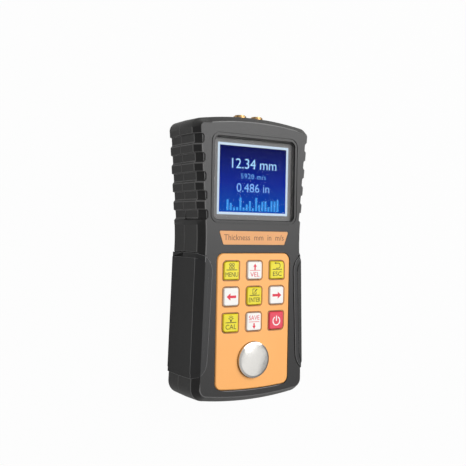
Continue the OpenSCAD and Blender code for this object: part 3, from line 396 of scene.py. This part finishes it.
def arrow(x, y, length, shaft, head, headLength, turn):
    half = length / 2
    neck = half - headLength
    points = [(-half, -shaft / 2), (neck, -shaft / 2), (neck, -head / 2), (half, 0), (neck, head / 2),
              (neck, shaft / 2), (-half, shaft / 2)]
    c, s = math.cos(math.radians(turn)), math.sin(math.radians(turn))
    return [(x + px * c - py * s, y + px * s + py * c) for px, py in points]


def roundedBox(x, y, width, height, radii, steps=6):
    points = []
    for (sx, sy, start), r in zip(((1, 1, 0), (-1, 1, 90), (-1, -1, 180), (1, -1, 270)), radii):
        for i in range(steps + 1):
            a = math.radians(start + 90 * i / steps)
            points.append((x + sx * (width / 2 - r) + r * math.cos(a), y + sy * (height / 2 - r) + r * math.sin(a)))
    return points


# A closed frame between two loops of as many points
def addFrame(shape, outer, inner, low, high):
    rings = [[shape.verts.new((x * mm, y * mm, z * mm)) for x, y in loop]
             for loop, z in ((outer, low), (outer, high), (inner, high), (inner, low))]
    for i in range(len(outer)):
        k = (i + 1) % len(outer)
        for here, there in zip(rings, rings[1:] + rings[:1]):
            shape.faces.new((here[i], here[k], there[k], there[i]))


def addLoop(shape, points, low, high):
    floor = [shape.verts.new((x * mm, y * mm, low * mm)) for x, y in points]
    roof = [shape.verts.new((x * mm, y * mm, high * mm)) for x, y in points]
    shape.faces.new(list(reversed(floor)))
    shape.faces.new(roof)
    for i in range(len(points)):
        k = (i + 1) % len(points)
        shape.faces.new((floor[i], floor[k], roof[k], roof[i]))


# Letters as closed solids, cap height in millimetres, centred on a point
def addWords(shape, words, capHeight, x, y, low, high, squeeze=1.0, spacing=1.0):
    curve = bpy.data.curves.new("words", "FONT")
    curve.body = words
    curve.size = capHeight * mm / 0.69
    curve.align_x = "CENTER"
    curve.align_y = "CENTER"
    curve.space_character = spacing
    curve.extrude = (high - low) / 2 * mm
    curve.resolution_u = 3
    holder = bpy.data.objects.new("words", curve)
    scene.collection.objects.link(holder)
    graph = bpy.context.evaluated_depsgraph_get()
    mesh = bpy.data.meshes.new_from_object(holder.evaluated_get(graph), depsgraph=graph)
    mesh.transform(Matrix.Translation((x * mm, y * mm, (low + high) / 2 * mm)) @ Matrix.Diagonal((squeeze, 1, 1, 1)))
    shape.from_mesh(mesh)
    bpy.data.objects.remove(holder)
    bpy.data.curves.remove(curve)
    bpy.data.meshes.remove(mesh)


def printPiece(name, loops, words, low, high, finish, body, frames=()):
    shape = bmesh.new()
    for outer, inner in frames:
        addFrame(shape, outer, inner, low, high)
    for points in loops:
        addLoop(shape, points, low, high)
    for entry in words:
        addWords(shape, entry[0], entry[1], entry[2], entry[3], low, high, *entry[4:])
    bmesh.ops.remove_doubles(shape, verts=shape.verts, dist=weld * mm)
    bmesh.ops.recalc_face_normals(shape, faces=shape.faces)
    mesh = bpy.data.meshes.new(name)
    shape.to_mesh(mesh)
    shape.free()
    return newPiece(name, mesh, finish, body)


# Nine keys: place in the grid, cap colour, ink, and what is printed on each
keyGrid = {"pitchX": 14.5, "pitchY": 13.6, "row": -19.4, "top": 32.85, "ink": 0.03, "sunk": 0.02, "line": 0.36}


def menuPrint(x, y):
    loops = [bar(x - 3.3, y + 0.2, x + 3.3, y + 0.2 + keyGrid["line"])]
    for sx in (-1, 1):
        for sy in (-1, 1):
            for half in (0, 180):
                loops.append(band(x + sx * 0.85, y + 2.35 + sy * 0.85, 0.78, 0.5, half, half + 180, 10))
            loops.append(bar(x + sx * 0.42 - 0.2, y + 2.35 + sy * 0.42 - 0.2,
                             x + sx * 0.42 + 0.2, y + 2.35 + sy * 0.42 + 0.2))
    return loops, [("MENU", 2.35, x, y - 2.15, 0.86)]


def escapePrint(x, y):
    loops = [bar(x - 3.1, y + 0.2, x + 3.1, y + 0.2 + keyGrid["line"]),
             band(x + 0.5, y + 2.35, 1.55, 1.2, -90, 90, 14), bar(x - 1.1, y + 3.55, x + 0.5, y + 3.9),
             bar(x - 0.9, y + 0.8, x + 0.5, y + 1.15), arrow(x - 1.3, y + 3.72, 1.1, 0.3, 1.2, 0.9, 180)]
    return loops, [("ESC", 2.35, x, y - 2.15, 1.08)]


def enterPrint(x, y):
    loops = [bar(x - 3.1, y + 0.2, x + 3.1, y + 0.2 + keyGrid["line"]),
             bar(x - 1.3, y + 0.9, x - 1.0, y + 3.9), bar(x - 1.0, y + 0.9, x + 1.1, y + 1.2),
             bar(x - 1.0, y + 3.6, x + 0.4, y + 3.9), bar(x + 0.8, y + 1.2, x + 1.1, y + 2.2),
             arrow(x + 0.75, y + 2.95, 2.3, 0.5, 0.5, 0.5, 222), bar(x - 0.6, y + 1.7, x + 0.2, y + 1.9)]
    return loops, [("ENTER", 2.35, x, y - 2.15, 0.74)]


def lampPrint(x, y):
    loops = [bar(x - 3.3, y + 0.1, x + 3.3, y + 0.1 + keyGrid["line"]), bar(x - 0.45, y + 0.75, x + 0.45, y + 1.45)]
    for half in (0, 180):
        loops.append(band(x, y + 2.35, 0.95, 0.65, half, half + 180, 12))
    for turn in (0, 45, 90, 135, 180):
        a = math.radians(turn)
        loops.append(arrow(x + 1.45 * math.cos(a), y + 2.35 + 1.45 * math.sin(a), 0.6, 0.26, 0.26, 0.1, turn))
    return loops, [("CAL", 2.4, x, y - 2.15, 1.05)]


def velocityPrint(x, y):
    return ([bar(x - 3.3, y - 0.15, x + 3.3, y + 0.1), arrow(x, y + 1.9, 3.4, 0.9, 2.2, 1.7, 90)],
            [("VEL", 2.4, x, y - 2.3, 1.05)])


def savePrint(x, y):
    return ([bar(x - 3.3, y - 0.15, x + 3.3, y + 0.1), arrow(x, y - 2.25, 3.0, 0.85, 2.1, 1.6, -90)],
            [("SAVE", 2.4, x, y + 2.0, 0.88)])


def leftPrint(x, y):
    return [arrow(x, y, 5.8, 1.35, 3.8, 2.3, 180)], []


def rightPrint(x, y):
    return [arrow(x, y, 5.8, 1.35, 3.8, 2.3, 0)], []


def powerPrint(x, y):
    return [band(x, y - 0.2, 2.55, 1.9, 118, 422, 36), bar(x - 0.33, y - 0.3, x + 0.33, y + 2.6)], []


keys = {
    "menu": (-1, 1, "keyYellow", "inkDark", menuPrint), "up": (0, 1, "keyWhite", "inkRed", velocityPrint),
    "escape": (1, 1, "keyYellow", "inkDark", escapePrint), "left": (-1, 0, "keyWhite", "inkRed", leftPrint),
    "enter": (0, 0, "keyYellow", "inkDark", enterPrint), "right": (1, 0, "keyWhite", "inkRed", rightPrint),
    "lamp": (-1, -1, "keyYellow", "inkDark", lampPrint), "down": (0, -1, "keyWhite", "inkRed", savePrint),
    "power": (1, -1, "keyRed", "inkWhite", powerPrint),
}
# Dark lines printed on the plate around the keys; the corner keys are rounder at their outer corner
keyLine = {"width": 9.2, "height": 9.3, "gap": 0.52, "line": 0.33, "round": 1.3, "outer": 1.9, "inner": 0.6,
           "plate": 32.25, "film": 0.02}


def cornerRadius(column, row, corner):
    if column * row == 0:
        return keyLine["round"]
    return keyLine["outer"] if corner == (column, row) else keyLine["inner"]


def keyFrames():
    frames = []
    for column, row, *_ in keys.values():
        radii = [cornerRadius(column, row, corner) for corner in ((1, 1), (-1, 1), (-1, -1), (1, -1))]
        x, y = column * keyGrid["pitchX"], keyGrid["row"] + row * keyGrid["pitchY"]
        frames.append([roundedBox(x, y, keyLine["width"] + 2 * grow, keyLine["height"] + 2 * grow,
                                  [r + grow for r in radii])
                       for grow in (keyLine["gap"] + keyLine["line"], keyLine["gap"])])
    return frames


printPiece("keyOutlines", [], [], keyLine["plate"] - keyLine["film"], keyLine["plate"] + keyLine["film"], "inkBrown",
           "housing", keyFrames())
for key, (column, row, cap, ink, draw) in keys.items():
    body = key + "_button"
    easedCopy(key + "_key", key + "Key", cap, body, caseEdges["key"])
    loops, words = draw(column * keyGrid["pitchX"], keyGrid["row"] + row * keyGrid["pitchY"])
    printPiece(key + "Legend", loops, words, keyGrid["top"] - keyGrid["sunk"], keyGrid["top"] + keyGrid["ink"],
               ink, body)
print("keys and legends made:", len(keys))


# Title plate: a generic word and the units it reads in
titlePrint = {"words": "Thickness  mm  in  m/s", "height": 3.0, "y": 11.35, "squeeze": 0.94, "top": 32.0,
              "film": 0.02}
printPiece("titlePrint", [], [(titlePrint["words"], titlePrint["height"], 0, titlePrint["y"],
                             titlePrint["squeeze"])],
           titlePrint["top"] - titlePrint["film"], titlePrint["top"] + titlePrint["film"], "inkBrown", "housing")

# Painted shade: a near-black ring round the window's edge, standing in for the shadow on the recess walls
windowBead = {"width": 51.2, "height": 43.5, "radius": 3.0, "y": 42.1, "shadeBand": 0.4, "low": 31.08, "high": 31.3}
shadeBand = [roundedBox(0, windowBead["y"], windowBead["width"] - 2 * inset, windowBead["height"] - 2 * inset,
                   [windowBead["radius"] - inset] * 4) for inset in (0, windowBead["shadeBand"])]
printPiece("windowBead", [], [], windowBead["low"], windowBead["high"], "paintedShadeInk", "housing", [shadeBand])

# Display: white margin, glowing picture, and a reading with its second unit, velocity and echo bars
display = {"width": 42.5, "height": 34.8, "y": 42.1, "glass": 29.73, "film": 0.02,
           "reading": "12.34 mm", "velocity": "5920 m/s", "second": "0.486 in",
           "readingHeight": 5.2, "readingRise": 8.0, "velocityHeight": 2.7, "velocityRise": 1.6,
           "velocityStretch": 1.05, "velocitySpacing": 1.08, "secondHeight": 4.6, "secondRise": -4.6, "panelEdge": 0.05}


def makeDisplay():
    y, glass, film = display["y"], display["glass"], display["film"]
    halfW, halfH = display["width"] / 2, display["height"] / 2
    easedCopy("display_panel", "displayPanel", "displayMargin", "housing", display["panelEdge"],
              segments=1)
    printPiece("displayPicture", [bar(-halfW, y - halfH, halfW, y + halfH)], [], glass - film, glass + film,
               "displayPicture", "housing")
    printPiece("displayReading", [], [(display["reading"], display["readingHeight"], 0, y + display["readingRise"])],
               glass, glass + 2 * film, "displayWhite", "housing")
    printPiece("displayVelocity", [], [(display["velocity"], display["velocityHeight"], 0, y + display["velocityRise"],
                                         display["velocityStretch"], display["velocitySpacing"])],
               glass, glass + 2 * film, "displaySmall", "housing")
    printPiece("displaySecond", [], [(display["second"], display["secondHeight"], 0, y + display["secondRise"])],
               glass, glass + 2 * film, "displayPale", "housing")


makeDisplay()

# Echo bars along the foot of the display, spread and sized by Geometry Nodes
echoBars = {"count": 17, "pitch": 2.0, "width": 1.3, "tallest": 7.2, "shortest": 1.2, "foot": 25.6, "seed": 7}


def addSocket(tree, name, kind, value):
    socket = tree.interface.new_socket(name, in_out="INPUT", socket_type=kind)
    socket.default_value = value
    return socket


def echoBarTree():
    tree = bpy.data.node_groups.new("echoBars", "GeometryNodeTree")
    tree.interface.new_socket("Geometry", in_out="OUTPUT", socket_type="NodeSocketGeometry")
    sockets = {name: addSocket(tree, name, kind, 0) for name, kind in (
        ("Bar count", "NodeSocketInt"), ("Bar pitch", "NodeSocketFloat"), ("Bar width", "NodeSocketFloat"),
        ("Shortest bar", "NodeSocketFloat"), ("Tallest bar", "NodeSocketFloat"), ("Foot height", "NodeSocketFloat"),
        ("Glass height", "NodeSocketFloat"), ("Film", "NodeSocketFloat"), ("Seed", "NodeSocketInt"))}
    given = addNode(tree, "NodeGroupInput").outputs
    last = addNode(tree, "ShaderNodeMath", {0: given["Bar count"], 1: 1.0}, operation="SUBTRACT")
    span = addNode(tree, "ShaderNodeMath", {0: last.outputs[0], 1: given["Bar pitch"]}, operation="MULTIPLY")
    left = addNode(tree, "ShaderNodeMath", {0: span.outputs[0], 1: -0.5}, operation="MULTIPLY")
    start = addNode(tree, "ShaderNodeCombineXYZ", {0: left.outputs[0], 1: given["Foot height"],
                                                   2: given["Glass height"]})
    step = addNode(tree, "ShaderNodeCombineXYZ", {0: given["Bar pitch"]})
    line = addNode(tree, "GeometryNodeMeshLine", {"Count": given["Bar count"], "Start Location": start.outputs[0],
                                                  "Offset": step.outputs[0]})
    size = addNode(tree, "ShaderNodeCombineXYZ", {0: given["Bar width"], 1: 1.0, 2: given["Film"]})
    block = addNode(tree, "GeometryNodeMeshCube", {"Size": size.outputs[0]})
    raised = addNode(tree, "GeometryNodeTransform", {"Geometry": block.outputs[0], "Translation": (0, 0.5, 0)})
    height = addNode(tree, "FunctionNodeRandomValue", {2: given["Shortest bar"], 3: given["Tallest bar"],
                                                       "Seed": given["Seed"]}, data_type="FLOAT")
    stretch = addNode(tree, "ShaderNodeCombineXYZ", {0: 1.0, 1: height.outputs[1], 2: 1.0})
    bars = addNode(tree, "GeometryNodeInstanceOnPoints", {"Points": line.outputs[0], "Instance": raised.outputs[0],
                                                          "Scale": stretch.outputs[0]})
    real = addNode(tree, "GeometryNodeRealizeInstances", {0: bars.outputs[0]})
    painted = addNode(tree, "GeometryNodeSetMaterial", {"Geometry": real.outputs[0],
                                                        "Material": finishes["displayBars"]})
    addNode(tree, "NodeGroupOutput", {0: painted.outputs[0]})
    return tree, {name: socket.identifier for name, socket in sockets.items()}


def makeEchoBars():
    holder = bpy.data.objects.new("echoBars", bpy.data.meshes.new("echoBars"))
    scene.collection.objects.link(holder)
    tree, names = echoBarTree()
    spread = holder.modifiers.new("echoBars", "NODES")
    spread.node_group = tree
    values = {"Bar count": echoBars["count"], "Bar pitch": echoBars["pitch"] * mm, "Bar width": echoBars["width"] * mm,
              "Shortest bar": echoBars["shortest"] * mm, "Tallest bar": echoBars["tallest"] * mm,
              "Foot height": echoBars["foot"] * mm, "Glass height": (display["glass"] + display["film"]) * mm,
              "Film": 2 * display["film"] * mm, "Seed": echoBars["seed"]}
    for name, value in values.items():
        spread[names[name]] = value
    settle(holder)
    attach(holder, "housing")


makeEchoBars()
print("display made")

# Window: clear acrylic that lets the lamps through to the print behind it
lens = easedCopy("window_lens", "windowLens", "windowAcrylic", "housing", caseEdges["lens"])
lens.visible_shadow = False

# Zero disc: faced top, polished bevel and rim
discForm = {"radius": 9.5, "low": 29.95, "high": 33.95, "bevelWidth": 1.1, "bevelHeight": 0.45, "ease": 0.08,
            "sides": 128, "crease": 14}


def makeDisc():
    r, w, h, e = discForm["radius"], discForm["bevelWidth"], discForm["bevelHeight"], discForm["ease"]
    low, high = discForm["low"], discForm["high"]
    profile = [(0, low), (r, low), (r, high - h - e), (r - e * 0.6, high - h + e * 0.4), (r - w + e, high - e * 0.4),
               (r - w - e, high), (0, high)]
    shape = bmesh.new()
    middle = discTurning["middle"]
    spokes = []
    for i in range(discForm["sides"]):
        a = 2 * math.pi * i / discForm["sides"]
        spokes.append([shape.verts.new(((middle[0] + p * math.cos(a)) * mm, (middle[1] + p * math.sin(a)) * mm, z * mm))
                       for p, z in profile])
    for i in range(discForm["sides"]):
        here, there = spokes[i], spokes[(i + 1) % discForm["sides"]]
        for j in range(len(profile) - 1):
            face = shape.faces.new((here[j], there[j], there[j + 1], here[j + 1]))
            face.material_index = 1 if j == len(profile) - 2 else 0
    bmesh.ops.remove_doubles(shape, verts=shape.verts, dist=weld * mm)
    bmesh.ops.recalc_face_normals(shape, faces=shape.faces)
    mesh = bpy.data.meshes.new("zeroDisc")
    shape.to_mesh(mesh)
    shape.free()
    disc = newPiece("zeroDisc", mesh, "rimSteel", "housing")
    mesh.materials.append(finishes["discSteel"])
    mesh.shade_smooth()
    mesh.set_sharp_from_angle(angle=math.radians(discForm["crease"]))
    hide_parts("zero_disc")


makeDisc()
print("window and zero disc made")

# Case screws: domed heads with a cross recess, put at their four places by Geometry Nodes
caseScrews = {"spots": ((30, 66.5), (-30, 66.5), (29, -65), (-29, -65)), "top": 0.8, "head": 2.3, "headHeight": 1.8,
              "shank": 1.06, "length": 18, "cross": 0.65, "crossReach": 1.38, "crossDepth": 0.9, "ease": 0.35,
              "sides": 32, "crossOver": 0.5, "crease": 30, "turn": 80, "seed": 3}


def screwPattern():
    s = caseScrews
    shape = bmesh.new()
    end, sides = s["headHeight"] + s["length"], s["sides"]
    profile = [(0, 0), (s["head"] - s["ease"], 0), (s["head"], s["ease"]), (s["head"], s["headHeight"]),
               (s["shank"], s["headHeight"]), (s["shank"], end), (0, end)]
    angles = [2 * math.pi * i / sides for i in range(sides)]
    rings = [[shape.verts.new((p * math.cos(a) * mm, p * math.sin(a) * mm, z * mm)) for p, z in profile]
             for a in angles]
    for i in range(sides):
        here, there = rings[i], rings[(i + 1) % sides]
        for j in range(len(profile) - 1):
            shape.faces.new((here[j], here[j + 1], there[j + 1], there[j]))
    bmesh.ops.remove_doubles(shape, verts=shape.verts, dist=weld * mm)
    bmesh.ops.recalc_face_normals(shape, faces=shape.faces)
    mesh = bpy.data.meshes.new("screwPattern")
    shape.to_mesh(mesh)
    shape.free()
    pattern = bpy.data.objects.new("screwPattern", mesh)
    cutShape = bmesh.new()
    w, r, d = s["cross"] / 2, s["crossReach"], s["crossDepth"]
    addLoop(cutShape, [(-w, -r), (w, -r), (w, -w), (r, -w), (r, w), (w, w), (w, r), (-w, r), (-w, w), (-r, w), (-r, -w),
                       (-w, -w)], -s["crossOver"], d)
    cutMesh = bpy.data.meshes.new("crossCut")
    cutShape.to_mesh(cutMesh)
    cutShape.free()
    cutter = bpy.data.objects.new("crossCut", cutMesh)
    scene.collection.objects.link(pattern)
    scene.collection.objects.link(cutter)
    recess = pattern.modifiers.new("crossRecess", "BOOLEAN")
    recess.object = cutter
    recess.operation = "DIFFERENCE"
    settle(pattern)
    bpy.data.objects.remove(cutter)
    pattern.data.shade_smooth()
    pattern.data.set_sharp_from_angle(angle=math.radians(s["crease"]))
    return pattern


def makeScrews():
    pattern = screwPattern()
    tree = bpy.data.node_groups.new("caseScrews", "GeometryNodeTree")
    tree.interface.new_socket("Geometry", in_out="INPUT", socket_type="NodeSocketGeometry")
    tree.interface.new_socket("Geometry", in_out="OUTPUT", socket_type="NodeSocketGeometry")
    turn = addSocket(tree, "Cross turn", "NodeSocketFloat", 0.0)
    seed = addSocket(tree, "Seed", "NodeSocketInt", 0)
    given = addNode(tree, "NodeGroupInput").outputs
    screw = addNode(tree, "GeometryNodeObjectInfo", {"Object": pattern})
    angle = addNode(tree, "FunctionNodeRandomValue", {2: 0.0, 3: given["Cross turn"], "Seed": given["Seed"]},
                    data_type="FLOAT")
    spin = addNode(tree, "ShaderNodeCombineXYZ", {2: angle.outputs[1]})
    placed = addNode(tree, "GeometryNodeInstanceOnPoints", {"Points": given["Geometry"],
                                                            "Instance": screw.outputs["Geometry"],
                                                            "Rotation": spin.outputs[0]})
    real = addNode(tree, "GeometryNodeRealizeInstances", {0: placed.outputs[0]})
    painted = addNode(tree, "GeometryNodeSetMaterial", {"Geometry": real.outputs[0],
                                                        "Material": finishes["screwSteel"]})
    addNode(tree, "NodeGroupOutput", {0: painted.outputs[0]})
    mesh = bpy.data.meshes.new("caseScrews")
    mesh.from_pydata([(x * mm, y * mm, caseScrews["top"] * mm) for x, y in caseScrews["spots"]], [], [])
    screws = bpy.data.objects.new("caseScrews", mesh)
    scene.collection.objects.link(screws)
    spread = screws.modifiers.new("caseScrews", "NODES")
    spread.node_group = tree
    spread[turn.identifier] = math.radians(caseScrews["turn"])
    spread[seed.identifier] = caseScrews["seed"]
    settle(screws)
    bpy.data.objects.remove(pattern)
    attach(screws, "housing")
    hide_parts("case_screws")


makeScrews()
print("screws made")

# CAD solids whose shape is right keep it, and take a finish
innerFinishes = {
    "window_mask": "windowInk", "display_holder": "holderNylon", "display_ribbon": "ribbonFilm",
    "dome_sheet": "domeFilm", "switch_board": "boardGreen", "switch_spacers": "holderNylon",
    "keypad_ribbon": "ribbonFilm", "main_board": "boardGreen", "processor_chip": "chipEpoxy", "pulse_coil": "coilTape",
    "capacitors": "capacitorSleeve", "buzzer": "chipEpoxy", "socket_insulators": "socketPtfe",
    "socket_contacts": "socketGilt", "left_cell": "cellSleeve", "right_cell": "cellSleeve",
    "battery_springs": "contactSteel", "battery_plates": "contactSteel", "board_screws": "screwSteel",
}
for node, finish in innerFinishes.items():
    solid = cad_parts[node]
    solid.data.materials.clear()
    solid.data.materials.append(finishes[finish])
print("inner solids finished:", len(innerFinishes))
